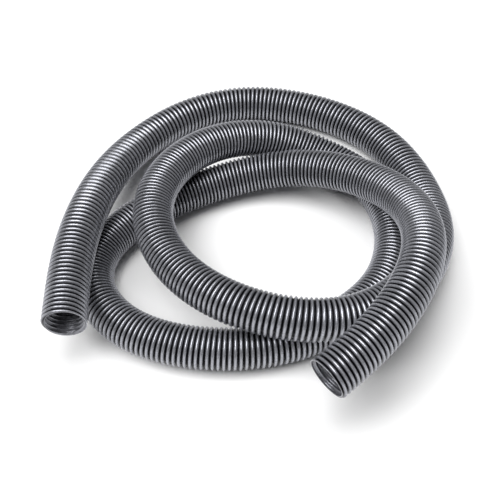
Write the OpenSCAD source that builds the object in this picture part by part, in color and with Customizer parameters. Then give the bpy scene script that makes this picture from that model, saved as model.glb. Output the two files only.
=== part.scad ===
// Vacuum hose: a bare spiral-wound hose with both ends cut square and open, lying on a level
// surface in a loose coil of about two and a half turns. The hose is one wound strip, so every
// node is a stretch of it: ribbed cut ends with an open bore, and plain swept stretches.

/* [Hose] */
// Outer diameter over the ribs
outer_d = 39; // [38:0.5:39]
// Clear bore diameter at the cut ends
bore_d = 32; // [30:0.5:34]
// Distance from one rib to the next
rib_pitch = 4.7; // [4.4:0.1:5]
// Depth of the groove between two ribs
groove_depth = 2; // [1:0.1:2.2]
// Number of ribs on each straight cut end
end_ribs = 8; // [6:1:9]

/* [Facets] */
// Sides of a swept stretch
sides = 12; // [8:4:16]
// Rings in each span between two route points
rings_per_span = 2; // [2:2:4]

/* [Hidden] */
// The route of the hose's axis, from the mouth of end A round the coil to the mouth of end B:
// control points of one smooth cubic B-spline, each [x, y, height above the surface].
route = [
    [-168, -143, 61], [-173, -71, 63], [-168, -5, 57], [-158, 60, 41], [-136, 122, 25],
    [-91, 177, 20], [-25, 207, 20], [50, 197, 20], [116, 161, 20], [156, 111, 20],
    [176, 45, 20], [174, -25, 36], [144, -90, 50], [89, -135, 55], [25, -140, 60],
    [-35, -120, 60], [-85, -75, 55], [-110, -15, 60], [-95, 50, 60], [-45, 100, 55],
    [20, 120, 40], [80, 105, 20], [125, 65, 20], [140, 0, 20], [125, -65, 20],
    [80, -110, 20], [20, -140, 20], [-55, -145, 20], [-125, -125, 20], [-165, -75, 20],
    [-160, -20, 20], [-115, 31, 20], [-50, 67, 20], [15, 81, 30], [75, 65, 45],
    [125, 25, 60], [150, -35, 80], [140, -105, 95], [100, -165, 85], [50, -205, 75],
];
// Clearance between the two stretches that meet where a flexing one lets an end move.
gap = 0.005;
// Each swept stretch, with the route points where it starts and ends.
stretches = [
    ["tail_a", 0, 1.5 - gap],
    ["flex_a_lift", 1.5, 2.5],
    ["neck_a", 2.5, 4 - gap],
    ["flex_a_swing", 4, 5],
    ["outer_left", 5, 6],
    ["outer_back", 6, 8],
    ["outer_right", 8, 10],
    ["outer_front", 10, 12],
    ["middle_right", 12, 14],
    ["middle_front", 14, 16],
    ["middle_left", 16, 18],
    ["middle_back", 18, 20],
    ["inner_back", 20, 22],
    ["inner_right", 22, 24],
    ["inner_corner", 24, 26],
    ["inner_front", 26, 28],
    ["inner_left", 28, 30],
    ["last_left", 30, 32],
    ["last_back", 32, 33],
    ["rise", 33, 34],
    ["flex_b_swing", 34, 35],
    ["neck_b", 35 + gap, 36.5],
    ["flex_b_lift", 36.5, 37.5],
    ["tail_b", 37.5 + gap, 39],
];

silver = [0.66, 0.67, 0.69];
outer_r = outer_d / 2;
bore_r = bore_d / 2;
groove_r = outer_r - groove_depth;
end_length = end_ribs * rib_pitch;
last_point = len(route) - 1;

// Control point i of the route. One more beyond each end makes the curve start and end straight.
function control(i) =
    i < 0 ? 2 * route[0] - route[1] :
    i > last_point ? 2 * route[last_point] - route[last_point - 1] :
    route[i];
// The B-spline's four weights at fraction f of a span, for a place and for a heading.
function place_weights(f) =
    [pow(1 - f, 3), 3 * pow(f, 3) - 6 * f * f + 4, -3 * pow(f, 3) + 3 * f * f + 3 * f + 1, pow(f, 3)] / 6;
function heading_weights(f) =
    [-pow(1 - f, 2), 3 * f * f - 4 * f, -3 * f * f + 2 * f + 1, f * f] / 2;
function weighted(i, w) =
    w[0] * control(i - 1) + w[1] * control(i) + w[2] * control(i + 1) + w[3] * control(i + 2);
// The axis of the hose, and the way it heads, t route points from end A.
function span(t) = min(floor(t), last_point - 1);
function axis_point(t) = weighted(span(t), place_weights(t - span(t)));
function unit(v) = v / norm(v);
function heading(t) = unit(weighted(span(t), heading_weights(t - span(t))));

// The cut ends are straight, so the swept stretch behind each one starts at its inner face, with
// just enough clearance for a spigot that reaches all the way in.
spigot_clearance = 0.01;
mouth_a = axis_point(0);
mouth_b = axis_point(last_point);
behind_end_a = mouth_a + (end_length + spigot_clearance) * heading(0);
behind_end_b = mouth_b - (end_length + spigot_clearance) * heading(last_point);

// One ring of the outer surface, square to the heading d at point p.
function ring(p, d) =
    let (side = unit(cross(d, [0, 0, 1])), up = cross(side, d))
    [for (k = [0:sides - 1]) p + outer_r * (cos(360 * k / sides) * side + sin(360 * k / sides) * up)];
function ring_at(t) =
    t <= 0 ? ring(behind_end_a, heading(0)) :
    t >= last_point ? ring(behind_end_b, heading(last_point)) :
    ring(axis_point(t), heading(t));
// Where a stretch has its rings: at both ends, and between them where no straight cut end is.
function is_swept(t) = t >= 1 && t <= last_point - 1;
function ring_places(from, to) =
    let (first = floor(from * rings_per_span) + 1, last = ceil(to * rings_per_span) - 1)
    [from, each [for (i = [first:1:last]) if (is_swept(i / rings_per_span)) i / rings_per_span], to];

// One closed tube through the rings of a stretch.
module swept_stretch(from, to) {
    rings = [for (t = ring_places(from, to)) ring_at(t)];
    last = len(rings) - 1;
    walls = [for (j = [0:last - 1], k = [0:sides - 1])
        let (a = j * sides + k, b = j * sides + (k + 1) % sides)
        each [[a, b, b + sides], [a, b + sides, a + sides]]];
    caps = [[for (k = [sides - 1:-1:0]) k], [for (k = [0:sides - 1]) last * sides + k]];
    color(silver)
        polyhedron([for (r = rings) each r], concat(walls, caps), convexity = 6);
}

// One straight ribbed cut end with its open bore, from its mouth at z = 0 along +Z.
module ribbed_end() {
    crest = rib_pitch * 0.3;
    flank = rib_pitch * 0.2;
    ribs = [for (i = [0:end_ribs - 1]) each [
        [groove_r, i * rib_pitch + flank / 2],
        [outer_r, i * rib_pitch + flank * 1.5],
        [outer_r, i * rib_pitch + flank * 1.5 + crest],
        [groove_r, i * rib_pitch + flank * 2.5 + crest],
    ]];
    rotate_extrude($fn = 96)
        polygon(concat([[bore_r, 0], [groove_r, 0]], ribs, [[groove_r, end_length], [bore_r, end_length]]));
}

// Puts a part drawn along +Z at point p, pointing along d.
module aim(p, d) {
    translate(p)
        rotate([0, acos(d[2]), atan2(d[1], d[0])])
            children();
}

module end_a() {
    color(silver) aim(mouth_a, heading(0)) ribbed_end();
}

module end_b() {
    color(silver) aim(mouth_b, -heading(last_point)) ribbed_end();
}

end_a();
for (s = stretches)
    swept_stretch(s[1], s[2]);
end_b();
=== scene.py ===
"""A silver-grey spiral-wound vacuum hose, loosely coiled on a plain pale floor."""
import math

import bmesh
import bpy
import numpy as np
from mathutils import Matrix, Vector


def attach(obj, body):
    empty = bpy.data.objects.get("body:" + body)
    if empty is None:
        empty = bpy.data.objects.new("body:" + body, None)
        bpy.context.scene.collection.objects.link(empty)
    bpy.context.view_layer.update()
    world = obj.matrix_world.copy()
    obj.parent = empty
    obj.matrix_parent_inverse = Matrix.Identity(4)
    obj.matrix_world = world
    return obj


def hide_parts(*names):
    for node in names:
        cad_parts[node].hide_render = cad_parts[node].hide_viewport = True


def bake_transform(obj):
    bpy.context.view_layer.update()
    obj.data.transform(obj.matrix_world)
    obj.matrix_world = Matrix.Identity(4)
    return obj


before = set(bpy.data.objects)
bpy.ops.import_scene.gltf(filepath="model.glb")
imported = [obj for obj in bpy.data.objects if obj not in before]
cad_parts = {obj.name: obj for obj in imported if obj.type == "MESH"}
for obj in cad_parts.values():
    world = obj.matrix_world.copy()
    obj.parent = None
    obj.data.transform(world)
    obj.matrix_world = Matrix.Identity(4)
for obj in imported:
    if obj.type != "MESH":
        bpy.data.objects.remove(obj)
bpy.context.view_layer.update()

# The hose's real sizes, in metres. They are the CAD model's.
OUTER_D = 0.039
GROOVE_DEPTH = 0.0024
WALL = 0.001
# Painted shade inside the bore: how light its wall is painted, on the rib scale where the crests
# outside are 1, and how much lighter its own ribs are painted than the hollows between them.
BORE_PAINTED_SHADE = 0.58
BORE_RIB_PAINTED_SHADE = 0.25
# How much broader a crest is than a groove: 0 is a plain wave, and 1 has sharp grooves.
CREST_BREADTH = 0.38
# The route's control points, in millimetres, as in part.scad: [x, y, height] of a cubic B-spline.
ROUTE = [
    (-168, -143, 61), (-173, -71, 63), (-168, -5, 57), (-158, 60, 41), (-136, 122, 25),
    (-91, 177, 20), (-25, 207, 20), (50, 197, 20), (116, 161, 20), (156, 111, 20),
    (176, 45, 20), (174, -25, 36), (144, -90, 50), (89, -135, 55), (25, -140, 60),
    (-35, -120, 60), (-85, -75, 55), (-110, -15, 60), (-95, 50, 60), (-45, 100, 55),
    (20, 120, 40), (80, 105, 20), (125, 65, 20), (140, 0, 20), (125, -65, 20),
    (80, -110, 20), (20, -140, 20), (-55, -145, 20), (-125, -125, 20), (-165, -75, 20),
    (-160, -20, 20), (-115, 31, 20), (-50, 67, 20), (15, 81, 30), (75, 65, 45),
    (125, 25, 60), (150, -35, 80), (140, -105, 95), (100, -165, 85), (50, -205, 75),
]
LAST = len(ROUTE) - 1
# How far apart the ribs are, in millimetres, at a dozen of the route's points: the hose is drawn
# out in some places and pressed together in others, about 4.7 on average.
RIB_SPACING = {
    0: 4.3, 1: 4.6, 3: 6.6, 6: 5.1, 10: 5.1, 15: 4.7,
    17: 3.9, 20: 4.5, 23: 4.3, 26: 4.8, 30: 4.0, 33: 4.5,
}

# How finely the wound wall is built: rows in one turn of the rib, and places round the hose.
OUTER_ROWS, OUTER_SIDES = 12, 44
INNER_ROWS, INNER_SIDES = 8, 32
# How far the wall is built past a mouth before it is cut off there, in metres.
PAST_MOUTH = 0.02
# The most that a vertex may be off the plane of a cut, in metres.
ON_PLANE = 1e-6
# How far apart the points are that a declared stretch of the hose follows, in metres.
PATH_STEP = 0.01


# ---- camera -------------------------------------------------------------------------------

def make_camera():
    """The photograph's viewing angle: 50 degrees down on the coil, from its front."""
    elevation = math.radians(50)
    distance = 0.758
    looks_at = Vector((-0.010, -0.010, 0))
    data = bpy.data.cameras.new("camera")
    data.sensor_width = 36
    data.lens = 53.1
    camera = bpy.data.objects.new("camera", data)
    camera.location = looks_at + distance * Vector((0, -math.cos(elevation), math.sin(elevation)))
    camera.rotation_euler = (math.pi / 2 - elevation, 0, 0)
    bpy.context.scene.collection.objects.link(camera)
    bpy.context.scene.camera = camera


# ---- the route ----------------------------------------------------------------------------

POINTS = np.array(ROUTE, float) / 1000
CONTROL = np.vstack([2 * POINTS[0] - POINTS[1], POINTS, 2 * POINTS[-1] - POINTS[-2]])


def weighted(t, weights):
    """The B-spline at each t of an array, in route points: control points summed by weight."""
    i = np.clip(np.floor(t).astype(int), 0, LAST - 1)
    f = (t - i)[:, None]
    return sum(w * CONTROL[i + k] for k, w in enumerate(weights(f)))


def place_weights(f):
    """A cubic B-spline's weights for a place, at fraction f of a span."""
    return ((1 - f) ** 3 / 6, (3 * f ** 3 - 6 * f ** 2 + 4) / 6,
            (-3 * f ** 3 + 3 * f ** 2 + 3 * f + 1) / 6, f ** 3 / 6)


def heading_weights(f):
    """A cubic B-spline's weights for a heading, at fraction f of a span."""
    return (-(1 - f) ** 2 / 2, (3 * f ** 2 - 4 * f) / 2, (-3 * f ** 2 + 2 * f + 1) / 2, f ** 2 / 2)


# The route in fine steps: route points from end A, places, metres, rib spacings, and rib turns.
FINE_T = np.linspace(0, LAST, 20001)
FINE_P = weighted(FINE_T, place_weights)
FINE_S = np.concatenate([[0], np.cumsum(np.linalg.norm(np.diff(FINE_P, axis=0), axis=1))])
LENGTH = float(FINE_S[-1])
FINE_PITCH = np.interp(FINE_T, list(RIB_SPACING), list(RIB_SPACING.values())) / 1000
FINE_TURN = np.concatenate([[0], np.cumsum(np.diff(FINE_S) / FINE_PITCH[1:])])


def along(t):
    """Metres from end A at t route points from it."""
    return float(np.interp(t, FINE_T, FINE_S))


def axis_at(s):
    """Places and headings on the hose's axis, s metres from end A. Past its ends it is straight."""
    inside = np.clip(s, 0, LENGTH)
    t = np.interp(inside, FINE_S, FINE_T)
    heading = weighted(t, heading_weights)
    heading /= np.linalg.norm(heading, axis=1)[:, None]
    return weighted(t, place_weights) + (s - inside)[:, None] * heading, heading


def turn_at(s):
    """How many turns of the rib there are from end A to s metres from it."""
    inside = np.clip(s, 0, LENGTH)
    pitch = np.interp(inside, FINE_S, FINE_PITCH)
    return np.interp(inside, FINE_S, FINE_TURN) + (s - inside) / pitch


def place_of_turn(turn):
    """Metres from end A of a place so many turns from it."""
    inside = np.clip(turn, 0, FINE_TURN[-1])
    s = np.interp(inside, FINE_TURN, FINE_S)
    return s + (turn - inside) * np.interp(s, FINE_S, FINE_PITCH)


def point_at(t):
    """The place on the hose's axis, t route points from end A."""
    return weighted(np.array([float(t)]), place_weights)[0]


# ---- the wound wall -----------------------------------------------------------------------

def rib_height(turn):
    """Height of the wall over the groove's floor, from 0 to 1, at a fraction of one turn."""
    return 0.5 - 0.5 * np.cos(2 * np.pi * turn)


def rib_lean(turn):
    """How far along, in pitches, a row moves, so that crests are broad and grooves narrow."""
    return -CREST_BREADTH * np.sin(2 * np.pi * turn) / (2 * np.pi)


def wound_surface(s_from, s_to, rows, sides, radius):
    """Vertices, quads and rib heights of a wound surface, whose ends follow the groove. Row by row
    and side by side the vertices climb one helix, so the side past the last one is the first side
    of the next turn."""
    first = int(round(float(turn_at(s_from))))
    turns = int(round(float(turn_at(s_to)))) - first
    last = turns * rows
    row, side = (v.ravel()
                 for v in np.meshgrid(np.arange(last + 1), np.arange(sides), indexing="ij"))
    # One more side for the last turn's rows, because no next turn is there to close on.
    row = np.concatenate([row, np.arange(last - rows + 1, last + 1)])
    side = np.concatenate([side, np.full(rows, sides)])
    turn = (row % rows) / rows
    s = place_of_turn(first + row / rows + rib_lean(turn) + side / sides - 0.5)
    centre, heading = axis_at(s)
    across = np.cross(heading, (0, 0, 1))
    across /= np.linalg.norm(across, axis=1)[:, None]
    up = np.cross(across, heading)
    height = rib_height(turn)
    angle = 2 * np.pi * side / sides
    out = np.cos(angle)[:, None] * across + np.sin(angle)[:, None] * up
    vertices = centre + radius(height)[:, None] * out

    def vertex(row, side):
        next_turn = (row + rows) * sides
        extra = (last + 1) * sides + row + rows - last - 1
        closed = np.where(row + rows <= last, next_turn, extra)
        return np.where(side < sides, row * sides + side, closed)

    j, k = (v.ravel() for v in np.meshgrid(np.arange(last), np.arange(sides), indexing="ij"))
    corners = [vertex(j, k), vertex(j, k + 1), vertex(j + 1, k + 1), vertex(j + 1, k)]
    quads = np.stack(corners, axis=-1)
    return vertices, quads, height


def make_mesh(name, parts):
    """One mesh of several (vertices, quads, rib values) parts. The rib values drive painted shade:
    rib heights outside, and the bore's painted shade inside.
    """
    vertices = np.vstack([part[0] for part in parts])
    starts = np.cumsum([0] + [len(part[0]) for part in parts[:-1]])
    quads = np.vstack([part[1] + start for part, start in zip(parts, starts)])
    mesh = bpy.data.meshes.new(name)
    mesh.vertices.add(len(vertices))
    mesh.vertices.foreach_set("co", vertices.ravel())
    mesh.loops.add(quads.size)
    mesh.loops.foreach_set("vertex_index", quads.ravel())
    mesh.polygons.add(len(quads))
    mesh.polygons.foreach_set("loop_start", np.arange(0, quads.size, 4))
    mesh.update(calc_edges=True)
    mesh.validate()
    # The rib attribute feeds the material's painted shade: near black in the grooves, and darker
    # inside the bore.
    rib = mesh.attributes.new("rib", "FLOAT", "POINT")
    rib.data.foreach_set("value", np.concatenate([part[2] for part in parts]))
    mesh.polygons.foreach_set("use_smooth", np.ones(len(mesh.polygons), bool))
    obj = bpy.data.objects.new(name, mesh)
    bpy.context.scene.collection.objects.link(obj)
    return obj


def outer_radius(height):
    """Radius of the wall's outside, at a rib height from 0 to 1."""
    return OUTER_D / 2 - GROOVE_DEPTH * (1 - height)


def inner_radius(height):
    """Radius of the wall's inside, which follows the outside."""
    return outer_radius(height) - WALL


def cut_square(obj, at, outward):
    """Cuts the wall off square at a mouth and closes its cut edge with a flat rim."""
    edit = bmesh.new()
    edit.from_mesh(obj.data)
    everything = edit.verts[:] + edit.edges[:] + edit.faces[:]
    bmesh.ops.bisect_plane(edit, geom=everything, plane_co=at, plane_no=outward,
                           clear_outer=True, dist=ON_PLANE / 10)
    edges = [e for e in edit.edges if e.is_boundary
             and all(abs((v.co - at).dot(outward)) < ON_PLANE for v in e.verts)]
    rim = bmesh.ops.bridge_loops(edit, edges=edges)
    for face in rim["faces"]:
        face.smooth = False
    edit.to_mesh(obj.data)
    edit.free()


def hose_stretch(name, s_from, s_to):
    """The wall from s_from to s_to metres from end A, inside and outside, cut square at a mouth."""
    low = s_from if s_from > 0 else -PAST_MOUTH
    high = s_to if s_to < LENGTH else LENGTH + PAST_MOUTH
    outside = wound_surface(low, high, OUTER_ROWS, OUTER_SIDES, outer_radius)
    vertices, quads, height = wound_surface(low, high, INNER_ROWS, INNER_SIDES, inner_radius)
    # Painted shade: the bore is painted darker than the crests outside, and its hollows darker than
    # its own ribs.
    shade = BORE_PAINTED_SHADE + BORE_RIB_PAINTED_SHADE * (1 - height)
    obj = make_mesh(name, [outside, (vertices, quads[:, ::-1], shade)])
    for mouth, outward, is_here in ((0.0, -1, s_from <= 0), (LENGTH, 1, s_to >= LENGTH)):
        if is_here:
            place, heading = axis_at(np.array([mouth]))
            cut_square(obj, Vector(place[0]), Vector(outward * heading[0]))
    return obj


# ---- materials ----------------------------------------------------------------------------

def noise(nodes, links, scale, detail):
    """A noise texture in the hose's own metres."""
    place = nodes.new("ShaderNodeTexCoord")
    texture = nodes.new("ShaderNodeTexNoise")
    texture.inputs["Scale"].default_value = scale
    texture.inputs["Detail"].default_value = detail
    links.new(place.outputs["Object"], texture.inputs["Vector"])
    return texture.outputs["Fac"]


def rescaled(nodes, links, value, low, high):
    """A noise whose usual range, 0.3 to 0.7, is made to run from low to high."""
    node = nodes.new("ShaderNodeMapRange")
    node.inputs["From Min"].default_value = 0.3
    node.inputs["From Max"].default_value = 0.7
    node.inputs["To Min"].default_value = low
    node.inputs["To Max"].default_value = high
    links.new(value, node.inputs["Value"])
    return node.outputs["Result"]


def hose_material():
    """Silver-grey plastic with a faint mottle and fine flow marks. Its grooves are painted near
    black as shade.
    """
    material = bpy.data.materials.new("ribbed_eva")
    material.use_nodes = True
    nodes, links = material.node_tree.nodes, material.node_tree.links
    shader = nodes["Principled BSDF"]
    shader.inputs["Metallic"].default_value = 0.6
    shader.inputs["Specular IOR Level"].default_value = 0.3

    rib = nodes.new("ShaderNodeAttribute")
    rib.attribute_name = "rib"
    # Painted shade: the rib attribute runs through this ramp, so the grooves are painted near black
    # and only the crests keep the plastic's silver-grey.
    shade = nodes.new("ShaderNodeValToRGB")
    groove, crest = shade.color_ramp.elements
    groove.position, groove.color = 0.3, (0.003, 0.003, 0.005, 1)
    crest.position, crest.color = 0.95, (0.385, 0.392, 0.428, 1)
    links.new(rib.outputs["Fac"], shade.inputs["Fac"])

    mottle = noise(nodes, links, scale=38, detail=4)
    colour = nodes.new("ShaderNodeVectorMath")
    colour.operation = "MULTIPLY"
    links.new(shade.outputs["Color"], colour.inputs[0])
    links.new(rescaled(nodes, links, mottle, 0.86, 1.12), colour.inputs[1])
    links.new(colour.outputs["Vector"], shader.inputs["Base Color"])

    flow_marks = noise(nodes, links, scale=260, detail=3)
    links.new(rescaled(nodes, links, flow_marks, 0.23, 0.31), shader.inputs["Roughness"])
    bump = nodes.new("ShaderNodeBump")
    bump.inputs["Strength"].default_value = 0.1
    bump.inputs["Distance"].default_value = 0.0002
    links.new(flow_marks, bump.inputs["Height"])
    links.new(bump.outputs["Normal"], shader.inputs["Normal"])
    return material


# ---- stage --------------------------------------------------------------------------------

def make_floor():
    """A plain white floor."""
    bpy.ops.mesh.primitive_plane_add(size=30, location=(0, 0, 0))
    floor = bpy.context.object
    floor.name = "floor"
    material = bpy.data.materials.new("floor")
    material.use_nodes = True
    shader = material.node_tree.nodes["Principled BSDF"]
    shader.inputs["Base Color"].default_value = (0.95, 0.95, 0.95, 1)
    shader.inputs["Roughness"].default_value = 0.9
    floor.data.materials.append(material)


def make_backdrop():
    """A white wall far round the floor, for low views. It only shows, and lights nothing."""
    bpy.ops.mesh.primitive_cylinder_add(vertices=64, radius=14, depth=20, end_fill_type="NOTHING")
    wall = bpy.context.object
    wall.name = "backdrop"
    material = bpy.data.materials.new("backdrop")
    material.use_nodes = True
    material.cycles.emission_sampling = "NONE"
    shader = material.node_tree.nodes["Principled BSDF"]
    shader.inputs["Emission Color"].default_value = (1, 1, 1, 1)
    shader.inputs["Emission Strength"].default_value = 1
    wall.data.materials.append(material)
    wall.visible_diffuse = wall.visible_glossy = wall.visible_shadow = False


def soft_sun(name, towards, spread, strength):
    """A large far softbox in the direction towards, spread degrees wide."""
    data = bpy.data.lights.new(name, "SUN")
    data.energy, data.angle = strength, math.radians(spread)
    lamp = bpy.data.objects.new(name, data)
    lamp.rotation_euler = Vector(towards).to_track_quat("Z", "Y").to_euler()
    bpy.context.scene.collection.objects.link(lamp)


def make_lights():
    """A broad key light from the upper left, one from above, and a little light all round."""
    soft_sun("key", (-0.6, -0.3, 1.3), 45, 2.9)
    soft_sun("top", (0.1, 0.25, 1.4), 40, 1.3)
    world = bpy.data.worlds.new("world")
    world.use_nodes = True
    world.node_tree.nodes["Background"].inputs["Color"].default_value = (1, 1, 1, 1)
    world.node_tree.nodes["Background"].inputs["Strength"].default_value = 0.1
    bpy.context.scene.world = world
    bpy.context.scene.view_settings.view_transform = "Standard"


# ---- the hose -----------------------------------------------------------------------------

# Each piece: its name, the route points where it starts and ends, and the CAD nodes it replaces.
PIECES = [
    ("hose_end_a", 0, 3.8, ["end_a", "tail_a", "flex_a_lift"]),
    ("hose_neck_a", 3.8, 7.5, ["neck_a", "flex_a_swing", "outer_left", "outer_back"]),
    ("hose_outer_turn", 7.5, 13, ["outer_right", "outer_front"]),
    ("hose_middle_turn", 13, 20, ["middle_right", "middle_front", "middle_left", "middle_back"]),
    ("hose_inner_turn", 20, 26, ["inner_back", "inner_right", "inner_corner"]),
    ("hose_last_turn", 26, 31.5, ["inner_front", "inner_left", "last_left"]),
    ("hose_neck_b", 31.5, 35.3, ["last_back", "rise", "flex_b_swing", "neck_b"]),
    ("hose_end_b", 35.3, LAST, ["flex_b_lift", "tail_b", "end_b"]),
]
# The pieces that are baked in place, not put on one body: the two bodies that each lies between,
# and two route points along it.
BENDS = {
    "hose_end_a": ("tip_a", "neck_a", 1, 3),
    "hose_neck_a": ("neck_a", "coil", 3.85, 5.15),
    "hose_neck_b": ("coil", "neck_b", 33.8, 35.2),
    "hose_end_b": ("neck_b", "tip_b", 36.4, 37.6),
}


def make_hose():
    """The hose in its stretches, each on the coil body or baked in place where it lies between two
    bodies.
    """
    material = hose_material()
    for name, t_from, t_to, nodes in PIECES:
        s_from, s_to = along(t_from), along(t_to)
        piece = hose_stretch(name, s_from, s_to)
        piece.data.materials.append(material)
        if name in BENDS:
            body_a, body_b, bend_from, bend_to = BENDS[name]
            point_at(bend_from)
            point_at(bend_to)
            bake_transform(piece)
        else:
            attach(piece, "coil")
        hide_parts(*nodes)
        steps = np.linspace(s_from, s_to, int((s_to - s_from) / PATH_STEP) + 2)
        path = axis_at(steps)[0]


make_camera()
make_hose()
make_floor()
make_backdrop()
make_lights()
